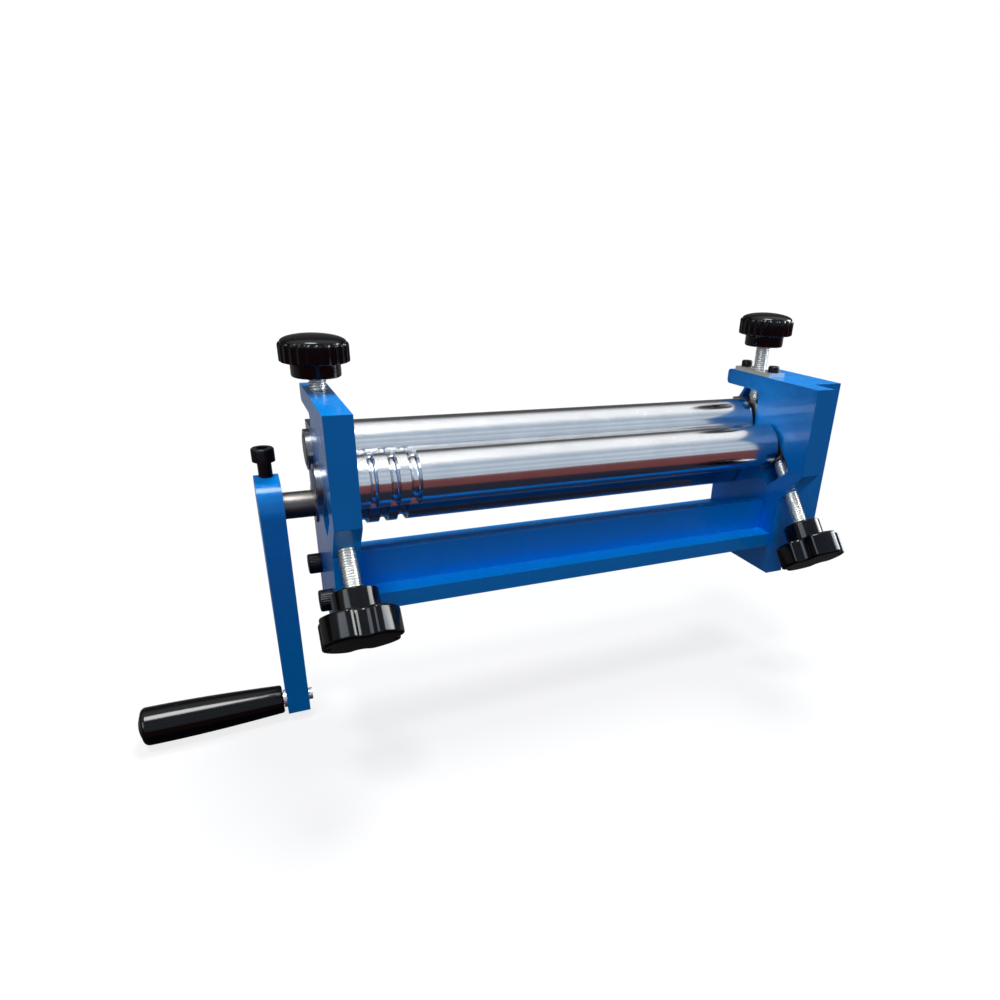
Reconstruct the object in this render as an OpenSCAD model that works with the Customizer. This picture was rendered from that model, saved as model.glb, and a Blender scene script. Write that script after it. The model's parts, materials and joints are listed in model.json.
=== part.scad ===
// Slip roll machine: two slotted end plates carry three rollers, screw-set bearing blocks,
// a geared pair behind a housing and a crank.
// X runs along the rollers, Y to the rear, Z up. The origin is under the middle of the left foot.

/* [Rollers] */
// Working length of each roller
roll_len = 300; // [200:10:400]
// Roller diameter
roll_d = 32; // [28:1:33]
// Chamfer on the roller ends
roll_chamfer = 0.8; // [0.3:0.1:2]
// Gap between a roller end and its end plate
end_gap = 2; // [1:0.5:4]
// Journal diameter of the top and bending rollers
journal_d = 20; // [16:0.5:20.5]
// Shaft diameter of the crank roller
shaft_d = 16.5; // [14:0.5:20]
// How far the crank roller axis lies below seven tenths of the plate height
axle_drop = 28.45; // [27.45:0.05:29.45]
// Distance of the crank roller axis behind the foot centre
drive_y = 23; // [22:0.5:24]
// Height of the top roller above the crank roller
top_rise = 36.5; // [36:0.25:37]
// Distance of the top roller in front of the crank roller
top_back = 9; // [8:0.5:10]
// Distance of the bending roller in front of the top roller
bend_out = 31.5; // [31:0.5:33]
// Distance of the bending roller below the top roller
bend_drop = 12.5; // [12:0.5:14]

/* [Wire grooves] */
// Distance of the first groove from the left end of the roller
groove_start = 10.5; // [8:0.5:20]
// Distance between grooves
groove_pitch = 12; // [9:0.5:14]
// Radius of the smallest groove
groove_r = 2.25; // [1.5:0.25:2.5]
// Growth in radius from one groove to the next
groove_step = 0.5; // [0.25:0.25:0.75]

/* [End plates] */
// Thickness of each end plate
plate_t = 15; // [12:1:20]
// Height of the end plates
plate_h = 143.5; // [142:0.5:150]
// Depth of the foot
foot_w = 80; // [76:1:90]
// How far the plate front stands out over the foot
front_over = 19.5; // [16:0.5:22]
// Distance of the lower end of the slanted front face below the crank roller axis
lip_drop = 12; // [10:1:16]
// Distance of its upper end above the crank roller axis
brow_rise = 11; // [8:1:14]
// Thickness of the arm over the top roller
arm_t = 11; // [9:0.5:12]
// Height of the rear wall behind the top slot above the crank roller axis
wall_rise = 34; // [30:1:38]
// Rear reach of the arm behind the top roller
nose_reach = 24.5; // [22:0.5:26]
// Radius of the rounded corners of the arm
nose_r = 3; // [1:0.5:5]
// Radius of the inner corner of the top slot
slot_r = 4; // [1:0.5:6]

/* [Bearing blocks] */
// Width of the top slot
top_slot_w = 30; // [29:0.5:31]
// Width of the bending slot
bend_slot_w = 27; // [26:0.5:27]
// Slide clearance of a block in its slot, each side
slide_gap = 0.2; // [0.1:0.05:0.4]
// Downward travel of the top roller
top_travel = 4.5; // [2:0.5:4.5]
// Outward travel of the bending roller
bend_travel = 10; // [4:0.5:10.5]
// Slope of the bending adjusters below the horizontal
bend_angle = 50; // [46:1:52]
// Outer diameter of the bushes
bush_d = 24; // [22.5:0.5:24]
// Stand-out of the moving bushes from the end plates
bush_out = 3; // [1:0.5:4]
// Running clearance of a journal in its bush
run_gap = 0.05; // [0.03:0.01:0.1]

/* [Adjusting screws] */
// Diameter of the adjusting screws
screw_d = 10; // [8:0.5:10]
// Distance of the top screws in front of the top roller axis
screw_ahead = 3; // [0:0.5:5]
// Height of the left top knob over the arm
knob_up_left = 7.5; // [7:0.5:12]
// Height of the right top knob over the arm
knob_up_right = 20; // [12:0.5:24]
// Diameter of the fluted top knobs
knob_d = 38.5; // [34:0.5:44]
// Height of the fluted rim
knob_rim_h = 11; // [8:0.5:14]
// Height of the domed top
knob_dome_h = 4.4; // [2:0.2:6]
// Diameter of the knob hubs
knob_hub_d = 27.5; // [20:0.5:32]
// Height of the knob hubs
knob_hub_h = 8; // [6:0.5:12]
// Number of flutes round the rim
flute_count = 24; // [12:2:30]
// Diameter of the lobed knobs
star_d = 45.5; // [38:0.5:46]
// Thickness of the lobes
star_h = 16.5; // [12:0.5:18]
// Diameter of the lobed knob hubs
star_hub_d = 26; // [18:0.5:28]
// Length of the lobed knob hubs
star_hub_h = 13; // [8:0.5:15]
// Distance of a lobed knob from the bending roller axis
star_off = 64.4; // [60:0.5:66]

/* [Base] */
// Height of the base bars above the bench
base_z = 21.6; // [18:0.2:24]
// Height of the upright of the base angle
angle_h = 33; // [24:1:36]
// Thickness of the upright
angle_t = 7.5; // [5:0.5:9]
// Thickness of the flange of the base angle
flange_t = 10.6; // [8:0.2:12]
// Depth of the flange with the upright
flange_w = 21; // [19:0.5:24]
// Distance of the angle front behind the foot front
angle_in = 3; // [1:0.5:6]
// Side of the square rear tie bar
tie_s = 16; // [14:0.5:18]
// Distance of the tie bar centre in front of the foot rear
tie_in = 12; // [10:0.5:14]
// Diameter of the frame screws
bolt_d = 8; // [5:0.5:8]
// Length of the frame screws under the head
bolt_len = 30; // [24:1:40]

/* [Gears and housing] */
// Tooth size of the gears
gear_module = 3; // [3:0.05:3.05]
// Number of teeth
gear_teeth = 11; // [11:1:11]
// Width of the gears
gear_w = 15; // [10:0.5:16]
// Depth of the gear housing
house_t = 25; // [22:1:30]
// Wall of the gear housing
house_wall = 2.5; // [2:0.1:2.8]
// Height of the housing underside
house_z = 20; // [14:1:24]
// How far the housing reaches behind the plate
house_back = 6; // [5:0.5:10]

/* [Crank] */
// Throw of the crank
crank_throw = 137.5; // [120:0.5:140]
// Thickness of the crank arm
arm_w = 14; // [10:0.5:14]
// Distance between the left plate and the crank arm
arm_gap = 19; // [19:0.5:30]
// Radius of the crank hub
arm_hub_r = 20; // [16:0.5:22]
// Width of the arm at the handle
arm_end_w = 20; // [16:0.5:24]
// Arm left below the handle axis
arm_tail = 6.5; // [5.5:0.5:12]
// Length of the handle grip
grip_len = 86; // [60:1:100]
// Diameter of the outer end of the grip
grip_d = 24.5; // [20:0.5:28]
// Diameter of the arm end of the grip
grip_neck_d = 19; // [16:0.5:22]
// Gap between grip and arm, taken by the spindle collar
grip_gap = 2; // [1.5:0.5:6]
// Diameter of the handle spindle
spindle_d = 8; // [6:0.5:9]

/* [Hidden] */

$fn = 48;
blue = [0.05, 0.36, 0.72];
steel = [0.75, 0.76, 0.78];
dark = [0.1, 0.1, 0.11];
bronze = [0.72, 0.55, 0.3];
zinc = [0.8, 0.8, 0.76];

// overrun of every cut
over = 1;
// clearance of a screw in its hole
fit_gap = 0.1;

// places along X
x_left_out = -plate_t / 2;
x_left_in = plate_t / 2;
x_right_in = x_left_in + roll_len + 2 * end_gap;
x_right_out = x_right_in + plate_t;
x_right_mid = x_right_in + plate_t / 2;
x_roll = x_left_in + end_gap;
x_house_out = x_right_out + house_t;
x_house_in = x_house_out - house_wall;
x_arm_in = x_left_out - arm_gap;
x_arm_out = x_arm_in - arm_w;
x_grip_in = x_arm_out - grip_gap;

// roller axes
axle_share = 0.7;
drive_z = plate_h * axle_share - axle_drop;
top_y = drive_y - top_back;
top_z = drive_z + top_rise;
bend_y = top_y - bend_out;
bend_z = top_z - bend_drop;

// adjusting direction of the bending roller, outward and down
out_y = -cos(bend_angle);
out_z = -sin(bend_angle);

// bearing blocks
block_wall = 1.5;
block_low = bush_d / 2 + block_wall;
block_high = bush_d / 2 + 2 * block_wall - 1 * slide_gap;
slot_floor = top_z - block_low - top_travel - slide_gap;
arm_z = plate_h - arm_t;
slot_front = top_y - top_slot_w / 2;
slot_rear = top_y + top_slot_w / 2;
bend_tail = 14;
bend_slot_run = bend_tail + bend_travel + 3.5 * end_gap / 2;

// outline corners of the end plates
foot_y = foot_w / 2;
lip_z = drive_z - lip_drop;
brow_z = drive_z + brow_rise;
rear_wall_z = drive_z + wall_rise;
front_y = -foot_y - front_over;
nose_y = top_y + nose_reach;

// screws
screw_pilot = screw_d + 2 * fit_gap;
tip_in = 2 * slide_gap;

// frame screws
bolt_head_d_share = 1.625;
bolt_head_d = bolt_d * bolt_head_d_share;
bolt_socket_share = 0.75;
bolt_socket = bolt_d * bolt_socket_share;
// the right-hand screws are sunk into their plate, under the gear housing
bolt_sink = bolt_d + 2 * fit_gap;
bolt_y1 = -foot_y + angle_in + flange_w * 0.62;
bolt_z1 = base_z + flange_t / 2;
bolt_y2 = foot_y - tie_in;
bolt_z2 = base_z + tie_s / 2 - 5 * fit_gap;

// nut plate on the right arm
nut_t = 3;
nut_len = 40;
nut_w = plate_t - 10 * fit_gap;
nut_screw_off = 15.5;
nut_screw_d = 4;
nut_head_d = 8;
nut_head_h = 4.5;
nut_screw_len = 12;
screw_y = top_y - screw_ahead;

// housing outline
house_front = -foot_y;
house_rear = foot_y + house_back;
house_top_run = top_y + 11;
house_low_back = top_z + 3.5;
house_post_d = 10;
house_bolt_d = 5;
house_bolt_in = 8;
house_post_in = 8.5;
house_post_up = 30;
house_post_low_up = 9;
house_posts = [[house_front + house_post_in, house_z + house_post_up],
               [0, house_z + house_post_low_up],
               [house_front + house_post_in, plate_h - house_post_in]];

// gears
gear_x = x_right_out + 2.5;
pitch_r = gear_module * gear_teeth / 2;
tip_r = pitch_r + gear_module;
root_r = pitch_r - 1.25 * gear_module;
tooth_gap_share = 0.82;

// crank
clamp_d = 8;
clamp_shank = 9;
clamp_head_h = 8;
clamp_head_d = 13;
clamp_depth_share = 0.5;
spindle_out = 3;
collar_d = 12;
// rounding of the grip's outer end and the share of its length that swells
grip_round = 3.5;
grip_dome = 2;
swell_share = 0.9;

// knobs
star_lobes = 4;
star_valley_r = 6;
star_valley_share = 0.15;
star_turn_left = 45;
star_turn_right = 8;
star_edge = 1.2;
flute_r_share = 0.055;
flute_r = knob_d * flute_r_share;

module x_cyl(x0, x1, r, y = 0, z = 0, n = 48) {
    translate([x0, y, z]) rotate([0, 90, 0]) cylinder(r = r, h = x1 - x0, $fn = n);
}

// lays an outline drawn as (Y, Z) across a plate from x0, t thick
module slab(x0, t) {
    translate([x0, 0, 0]) rotate([90, 0, 90]) linear_extrude(height = t) children();
}

// takes a solid that stands on the outward axis of a bending screw to its place
module on_bend(x, along = 0) {
    translate([x, bend_y + along * out_y, bend_z + along * out_z]) rotate([90 + bend_angle, 0, 0]) children();
}

module plate_outline() {
    polygon([
        [-foot_y, 0], [foot_y, 0], [foot_y, rear_wall_z], [slot_rear, rear_wall_z],
        [slot_rear, arm_z], [nose_y, arm_z], [nose_y, plate_h],
        [front_y, plate_h], [front_y, brow_z], [-foot_y, lip_z]
    ]);
}

// rounds the two corners of the arm's rear end
module nose_trim() {
    difference() {
        translate([nose_y - nose_r, arm_z - over]) square([nose_r + over, arm_t + 2 * over]);
        translate([nose_y - nose_r, arm_z + nose_r]) circle(r = nose_r, $fn = 24);
        translate([nose_y - nose_r, plate_h - nose_r]) circle(r = nose_r, $fn = 24);
        translate([nose_y - nose_r - over, arm_z + nose_r]) square([nose_r + over, arm_t - 2 * nose_r]);
        translate([nose_y - nose_r, arm_z + nose_r]) square([nose_r, arm_t - 2 * nose_r]);
    }
}

module top_slot() {
    // the upper front corner carries a fillet
    difference() {
        translate([slot_front, slot_floor]) square([top_slot_w, arm_z - slot_floor]);
        difference() {
            translate([slot_front - over, arm_z - slot_r]) square([slot_r + over, slot_r + over]);
            translate([slot_front + slot_r, arm_z - slot_r]) circle(r = slot_r, $fn = 32);
        }
    }
    translate([slot_rear - over, rear_wall_z]) square([foot_w, arm_z - rear_wall_z]);
}

// closed slot of the bending block, round at its upper end
module bend_slot() {
    translate([bend_y, bend_z]) rotate(180 + bend_angle) {
        circle(d = bend_slot_w, $fn = 64);
        translate([0, -bend_slot_w / 2]) square([bend_slot_run - slot_r / 2, bend_slot_w]);
        translate([0, -bend_slot_w / 2 + slot_r / 2]) square([bend_slot_run, bend_slot_w - slot_r]);
        for (s = [-1, 1])
            translate([bend_slot_run - slot_r / 2, s * (bend_slot_w / 2 - slot_r / 2)])
                circle(r = slot_r / 2, $fn = 24);
    }
}

module end_plate(x0) {
    difference() {
        slab(x0, plate_t) difference() {
            plate_outline();
            nose_trim();
            top_slot();
            bend_slot();
        }
        // top screw thread bore
        translate([x0 + plate_t / 2, screw_y, arm_z - over])
            cylinder(d = screw_pilot, h = arm_t + 2 * over, $fn = 32);
        // bending screw thread bore
        on_bend(x0 + plate_t / 2, bend_slot_run - over)
            cylinder(d = screw_pilot, h = foot_w / 2, $fn = 32);
        // seat of the drive bush
        x_cyl(x0 - over, x0 + plate_t + over, bush_d / 2 + run_gap, drive_y, drive_z, 64);
        // holes of the frame screws
        x_cyl(x0 - over, x0 + plate_t + over, bolt_d / 2 + fit_gap, bolt_y1, bolt_z1, 32);
        x_cyl(x0 - over, x0 + plate_t + over, bolt_d / 2 + fit_gap, bolt_y2, bolt_z2, 32);
    }
}

module left_plate() {
    color(blue) end_plate(x_left_out);
}

module right_plate() {
    color(blue) difference() {
        end_plate(x_right_in);
        for (s = [-1, 1])
            translate([x_right_mid, screw_y + s * nut_screw_off, plate_h - nut_screw_len])
                cylinder(d = nut_screw_d + 2 * fit_gap, h = nut_screw_len + over, $fn = 24);
        // counterbores of the frame screws
        for (p = [[bolt_y1, bolt_z1], [bolt_y2, bolt_z2]])
            x_cyl(x_right_out - bolt_sink, x_right_out + over, bolt_head_d / 2 + 3 * fit_gap, p[0], p[1], 48);
        // tapped holes of the housing screws
        for (p = house_posts)
            x_cyl(x_right_out - house_bolt_in - over, x_right_out + over, house_bolt_d / 2 + fit_gap, p[0], p[1], 24);
    }
}

module base_angle() {
    front = -foot_y + angle_in;
    color(blue) difference() {
        slab(x_left_in, x_right_in - x_left_in) polygon([
            [front, base_z], [front + flange_w, base_z], [front + flange_w, base_z + angle_h],
            [front + flange_w - angle_t, base_z + angle_h],
            [front + flange_w - angle_t, base_z + flange_t], [front, base_z + flange_t]
        ]);
        base_bolt_holes(bolt_y1, bolt_z1);
    }
}

module base_bolt_holes(y, z) {
    deep = bolt_len - plate_t + 2 * over;
    x_cyl(x_left_in - over, x_left_in + deep, bolt_d / 2 + fit_gap, y, z, 32);
    x_cyl(x_right_in - deep - bolt_sink, x_right_in + over, bolt_d / 2 + fit_gap, y, z, 32);
}

module rear_tie_bar() {
    color(blue) difference() {
        translate([x_left_in, foot_y - tie_in - tie_s / 2, base_z - 5 * fit_gap])
            cube([x_right_in - x_left_in, tie_s, tie_s]);
        base_bolt_holes(bolt_y2, bolt_z2);
    }
}

// socket head cap screw along +X with its head face at zero and the shank going to +X
module cap_screw(d, len, head_d, head_h, socket) {
    difference() {
        union() {
            rotate([0, -90, 0]) cylinder(d = head_d, h = head_h - socket / 12, $fn = 48);
            rotate([0, -90, 0]) translate([0, 0, head_h - socket / 12])
                cylinder(d1 = head_d, d2 = head_d - socket / 6, h = socket / 12, $fn = 48);
            rotate([0, 90, 0]) cylinder(d = d, h = len, $fn = 32);
        }
        translate([-head_h - over, 0, 0]) rotate([0, 90, 0])
            cylinder(d = socket / cos(30), h = head_h / 2 + over, $fn = 6);
    }
}

module base_screws() {
    color(dark) for (p = [[bolt_y1, bolt_z1], [bolt_y2, bolt_z2]]) {
        translate([x_left_out, p[0], p[1]]) cap_screw(bolt_d, bolt_len, bolt_head_d, bolt_d, bolt_socket);
        translate([x_right_out - bolt_sink, p[0], p[1]]) rotate([0, 0, 180])
            cap_screw(bolt_d, bolt_len, bolt_head_d, bolt_d, bolt_socket);
    }
}

// housing outline, drawn in by the given wall
module house_outline(wall = 0) {
    offset(delta = -wall) polygon([
        [house_front, house_z], [house_rear, house_z], [house_rear, house_low_back],
        [house_top_run, plate_h], [house_front, plate_h]
    ]);
}

module gear_housing() {
    color(blue) difference() {
        union() {
            difference() {
                slab(x_right_out, house_t) house_outline();
                slab(x_right_out - over, house_t - house_wall + over) house_outline(house_wall);
            }
            // screw posts from the outer wall to the end plate
            intersection() {
                union() for (p = house_posts) x_cyl(x_right_out, x_house_out, house_post_d / 2, p[0], p[1], 32);
                slab(x_right_out, house_t) house_outline();
            }
        }
        // screw holes and head counterbores
        for (p = house_posts) {
            x_cyl(x_right_out - over, x_house_out + over, house_bolt_d / 2 + fit_gap, p[0], p[1], 24);
            x_cyl(x_house_out - house_bolt_d, x_house_out + over, house_bolt_d * 0.85, p[0], p[1], 32);
        }
    }
}

module housing_screws() {
    color(dark) for (p = house_posts)
        translate([x_house_out - house_bolt_d, p[0], p[1]]) rotate([0, 0, 180])
            cap_screw(house_bolt_d, house_t - house_bolt_d + house_bolt_in, house_bolt_d * 1.6, house_bolt_d,
                      house_bolt_d * 0.8);
}

module bush(x0, x1, y, z, bore) {
    difference() {
        x_cyl(x0, x1, bush_d / 2, y, z, 64);
        x_cyl(x0 - over, x1 + over, bore / 2 + run_gap, y, z, 64);
    }
}

module drive_bush_left() {
    color(bronze) bush(x_left_out - end_gap / 2, x_left_in + end_gap / 4, drive_y, drive_z, shaft_d);
}

module drive_bush_right() {
    color(bronze) bush(x_right_in - end_gap / 4, x_right_out + end_gap / 4, drive_y, drive_z, shaft_d);
}

module nut_plate() {
    color(zinc) difference() {
        translate([x_right_mid - nut_w / 2, screw_y - nut_len / 2, plate_h]) cube([nut_w, nut_len, nut_t]);
        translate([x_right_mid, screw_y, plate_h - over]) cylinder(d = screw_pilot, h = nut_t + 2 * over, $fn = 32);
        for (s = [-1, 1])
            translate([x_right_mid, screw_y + s * nut_screw_off, plate_h - over])
                cylinder(d = nut_screw_d + 2 * fit_gap, h = nut_t + 2 * over, $fn = 24);
    }
}

module nut_plate_screws() {
    color(dark) for (s = [-1, 1])
        translate([x_right_mid, screw_y + s * nut_screw_off, plate_h + nut_t]) rotate([0, 90, 0])
            cap_screw(nut_screw_d, nut_screw_len + nut_t - over, nut_head_d, nut_head_h, nut_screw_d * 0.6);
}

// turned roller with its end chamfers, journals and optional wire grooves
module turned_roll(y, z, x0, x1, r_end, grooves) {
    difference() {
        translate([0, y, z]) rotate([90, 0, 90]) rotate_extrude($fn = 96) polygon([
            [0, x0], [r_end - roll_chamfer, x0], [r_end, x0 + roll_chamfer],
            [r_end, x_roll], [roll_d / 2 - roll_chamfer, x_roll], [roll_d / 2, x_roll + roll_chamfer],
            [roll_d / 2, x_roll + roll_len - roll_chamfer], [roll_d / 2 - roll_chamfer, x_roll + roll_len],
            [r_end, x_roll + roll_len], [r_end, x1 - roll_chamfer], [r_end - roll_chamfer, x1], [0, x1]
        ]);
        if (grooves) for (i = [0:2])
            translate([x_roll + groove_start + i * groove_pitch, y, z]) rotate([0, 90, 0])
                rotate_extrude($fn = 96) translate([roll_d / 2, 0]) circle(r = groove_r + i * groove_step, $fn = 20);
    }
}

module drive_roll() {
    color(steel) turned_roll(drive_y, drive_z, x_arm_out, gear_x + gear_w + end_gap, shaft_d / 2, true);
}

module top_roll() {
    color(steel) turned_roll(top_y, top_z, x_left_out - bush_out - end_gap / 4, gear_x + gear_w + end_gap,
                             journal_d / 2, false);
}

module bend_roll() {
    color(steel) turned_roll(bend_y, bend_z, x_left_out - bush_out - end_gap / 4,
                             x_right_out + bush_out + end_gap / 4, journal_d / 2, true);
}

// outline of the whole gear: each tooth runs from root to tip and back, with a flat top
module gear_outline() {
    wide = 360 / gear_teeth / 4 * tooth_gap_share;
    rise_shares = [[root_r, 1.65], [pitch_r - gear_module / 2, 1.35], [pitch_r, 1],
                   [pitch_r + gear_module / 2, 0.68], [tip_r, 0.38]];
    last = len(rise_shares) - 1;
    polygon([
        for (i = [0:gear_teeth - 1], k = [0:2 * last + 1])
            let (q = k <= last ? rise_shares[k] : rise_shares[2 * last + 1 - k],
                 side = k <= last ? -1 : 1,
                 a = i * 360 / gear_teeth + side * wide * q[1])
            [q[0] * cos(a), q[0] * sin(a)]
    ]);
}

module spur_gear(y, z, bore, turn) {
    difference() {
        slab(gear_x, gear_w) translate([y, z]) rotate(turn) gear_outline();
        x_cyl(gear_x - over, gear_x + gear_w + over, bore / 2 + fit_gap / 2, y, z, 64);
    }
}

// direction from the crank gear to the lowered top gear, where the teeth have least room
mesh_angle = atan2(top_z - top_travel - drive_z, top_y - drive_y);

module drive_gear() {
    color(steel) spur_gear(drive_y, drive_z, shaft_d, mesh_angle);
}

module top_gear() {
    color(steel) spur_gear(top_y, top_z, journal_d, mesh_angle + 180 + 180 / gear_teeth);
}

module crank_arm() {
    end_z = drive_z - crank_throw;
    color(blue) difference() {
        slab(x_arm_out, arm_w) {
            translate([drive_y, drive_z]) circle(r = arm_hub_r, $fn = 72);
            polygon([
                [drive_y - arm_hub_r, drive_z], [drive_y - arm_end_w / 2, end_z - arm_tail],
                [drive_y + arm_end_w / 2, end_z - arm_tail], [drive_y + arm_hub_r, drive_z]
            ]);
        }
        x_cyl(x_arm_out - over, x_arm_in + over, shaft_d / 2 + fit_gap, drive_y, drive_z, 64);
        x_cyl(x_arm_out - over, x_arm_in + over, spindle_d / 2 + fit_gap, drive_y, end_z, 48);
        translate([x_arm_in - arm_w / 2, drive_y, drive_z + shaft_d / 2])
            cylinder(d = clamp_d + 2 * fit_gap, h = arm_hub_r, $fn = 32);
    }
}

module crank_clamp_screw() {
    deep = (arm_hub_r - shaft_d / 2) * clamp_depth_share;
    color(dark) translate([x_arm_in - arm_w / 2, drive_y, drive_z + arm_hub_r + clamp_shank]) rotate([0, 90, 0])
        cap_screw(clamp_d, clamp_shank + deep + arm_hub_r / 5, clamp_head_d, clamp_head_h, clamp_d * 0.75);
}

module handle_spindle() {
    end_z = drive_z - crank_throw;
    color(steel) {
        x_cyl(x_arm_out - grip_gap - grip_len * 0.8, x_arm_in + spindle_out, spindle_d / 2, drive_y, end_z, 48);
        x_cyl(x_arm_out - grip_gap + 3 * fit_gap, x_arm_out, collar_d / 2, drive_y, end_z, 48);
    }
}

// turned grip, thickest near its outer end, which is rounded and slightly domed
module handle_grip() {
    end_z = drive_z - crank_throw;
    r1 = grip_d / 2;
    r0 = grip_neck_d / 2;
    rim = grip_len - grip_dome - grip_round;
    swell = rim * swell_share;
    color(dark) translate([x_grip_in, drive_y, end_z]) rotate([0, -90, 0]) difference() {
        rotate_extrude($fn = 64) polygon(concat(
            [[0, 0], [r0 - r0 / 8, 0], [r0, r0 / 8]],
            [for (i = [1:6]) [r0 + (r1 - r0) * sin(i * 15), r0 / 8 + (swell - r0 / 8) * i / 6]],
            [for (a = [0:22.5:90]) [r1 - grip_round + grip_round * cos(a), rim + grip_round * sin(a)]],
            [[r1 / 2, grip_len - grip_dome / 5], [0, grip_len]]
        ));
        translate([0, 0, -over]) cylinder(d = spindle_d + 2 * run_gap, h = grip_len * 0.8 + over + end_gap / 2, $fn = 48);
    }
}

// sliding block of the top roller
module top_block(x0) {
    half = top_slot_w / 2 - slide_gap;
    color(steel) difference() {
        slab(x0, plate_t) translate([top_y - half, top_z - block_low])
            square([2 * half, block_low + block_high]);
        x_cyl(x0 - over, x0 + plate_t + over, bush_d / 2 + run_gap, top_y, top_z, 64);
    }
}

module top_block_left() { top_block(x_left_out); }
module top_block_right() { top_block(x_right_in); }

module top_bush_left() {
    color(bronze) bush(x_left_out - bush_out, x_left_in + end_gap / 4, top_y, top_z, journal_d);
}

module top_bush_right() {
    color(bronze) bush(x_right_in - end_gap / 4, x_right_out + end_gap / 2, top_y, top_z, journal_d);
}

// threaded rod of a top adjuster, from the block up into its knob
module top_screw(x, up) {
    tip = top_z + block_high;
    top = plate_h + up + knob_hub_h + knob_rim_h / 2;
    color(zinc) translate([x, screw_y, tip]) {
        cylinder(d1 = screw_d - 2 * screw_d / 8, d2 = screw_d, h = screw_d / 8, $fn = 32);
        translate([0, 0, screw_d / 8]) cylinder(d = screw_d, h = top - tip - screw_d / 8, $fn = 32);
    }
}

module top_screw_left() { top_screw(0, knob_up_left); }
module top_screw_right() { top_screw(x_right_mid, knob_up_right); }

// fluted round knob with a low dome and a hub below
module top_knob(x, up) {
    dome = knob_dome_h / 3;
    color(dark) translate([x, screw_y, plate_h + up]) difference() {
        union() {
            rotate_extrude($fn = 64) polygon([
                [0, 0], [knob_hub_d / 2 - dome, 0], [knob_hub_d / 2, dome], [knob_hub_d / 2, knob_hub_h],
                [knob_d / 2 - dome - knob_d / 30, knob_hub_h], [knob_d / 2 - knob_d / 30, knob_hub_h + dome / 2],
                [knob_d / 2 - knob_d / 30, knob_hub_h + knob_rim_h],
                [knob_d / 2 * 0.8, knob_hub_h + knob_rim_h + knob_dome_h * 0.45],
                [knob_d / 2 * 0.5, knob_hub_h + knob_rim_h + knob_dome_h * 0.82],
                [knob_d / 2 * 0.22, knob_hub_h + knob_rim_h + knob_dome_h], [0, knob_hub_h + knob_rim_h + knob_dome_h]
            ]);
            translate([0, 0, knob_hub_h + dome / 2]) linear_extrude(height = knob_rim_h - dome)
                difference() {
                    circle(d = knob_d, $fn = 72);
                    for (i = [0:flute_count - 1]) rotate((i + 1 / 2) * 360 / flute_count)
                        translate([knob_d / 2 + flute_r / 3, 0]) circle(r = flute_r * 0.8, $fn = 14);
                }
        }
        translate([0, 0, -over]) cylinder(d = screw_pilot, h = knob_hub_h + knob_rim_h / 2 + over, $fn = 32);
    }
}

module top_knob_left() { top_knob(0, knob_up_left); }
module top_knob_right() { top_knob(x_right_mid, knob_up_right); }

// sliding block of the bending roller, round at its upper end
module bend_block(x0) {
    half = bend_slot_w / 2 - slide_gap;
    color(steel) difference() {
        slab(x0, plate_t) translate([bend_y, bend_z]) rotate(180 + bend_angle) {
            circle(r = half, $fn = 64);
            translate([0, -half]) square([bend_tail, 2 * half]);
        }
        x_cyl(x0 - over, x0 + plate_t + over, bush_d / 2 + run_gap, bend_y, bend_z, 64);
    }
}

module bend_block_left() { bend_block(x_left_out); }
module bend_block_right() { bend_block(x_right_in); }

module bend_bush_left() {
    color(bronze) bush(x_left_out - bush_out, x_left_in + end_gap / 4, bend_y, bend_z, journal_d);
}

module bend_bush_right() {
    color(bronze) bush(x_right_in - end_gap / 4, x_right_out + bush_out, bend_y, bend_z, journal_d);
}

module bend_screw(x) {
    from = bend_tail;
    to = star_off + star_hub_h + star_h / 2;
    color(zinc) on_bend(x, from) {
        cylinder(d1 = screw_d - 2 * screw_d / 8, d2 = screw_d, h = screw_d / 8, $fn = 32);
        translate([0, 0, screw_d / 8]) cylinder(d = screw_d, h = to - from - screw_d / 8, $fn = 32);
    }
}

module bend_screw_left() { bend_screw(0); }
module bend_screw_right() { bend_screw(x_right_mid); }

// outline of the lobed knob, drawn in by the given edge
module star_outline(edge) {
    offset(delta = -edge) difference() {
        circle(d = star_d, $fn = 96);
        for (i = [0:star_lobes - 1]) rotate((i + 1 / 2) * 360 / star_lobes)
            translate([star_d / 2 + star_valley_r * star_valley_share, 0]) circle(r = star_valley_r, $fn = 28);
    }
}

module star_knob(x, turn) {
    color(dark) on_bend(x, star_off) rotate([0, 0, turn]) difference() {
        union() {
            cylinder(d = star_hub_d, h = star_hub_h, $fn = 64);
            translate([0, 0, star_hub_h]) linear_extrude(height = star_edge) star_outline(star_edge / 2);
            translate([0, 0, star_hub_h + star_edge]) linear_extrude(height = star_h - 2 * star_edge) star_outline(0);
            translate([0, 0, star_hub_h + star_h - star_edge]) linear_extrude(height = star_edge)
                star_outline(star_edge / 2);
        }
        translate([0, 0, -over]) cylinder(d = screw_pilot, h = star_hub_h + star_h / 2 + over, $fn = 32);
    }
}

module bend_knob_left() { star_knob(0, star_turn_left); }
module bend_knob_right() { star_knob(x_right_mid, star_turn_right); }

left_plate();
right_plate();
base_angle();
rear_tie_bar();
base_screws();
gear_housing();
housing_screws();
drive_bush_left();
drive_bush_right();
nut_plate();
nut_plate_screws();
drive_roll();
drive_gear();
crank_arm();
crank_clamp_screw();
handle_spindle();
handle_grip();
top_block_left();
top_block_right();
top_bush_left();
top_bush_right();
top_roll();
top_gear();
top_screw_left();
top_knob_left();
top_screw_right();
top_knob_right();
bend_block_left();
bend_block_right();
bend_bush_left();
bend_bush_right();
bend_roll();
bend_screw_left();
bend_knob_left();
bend_screw_right();
bend_knob_right();
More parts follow.
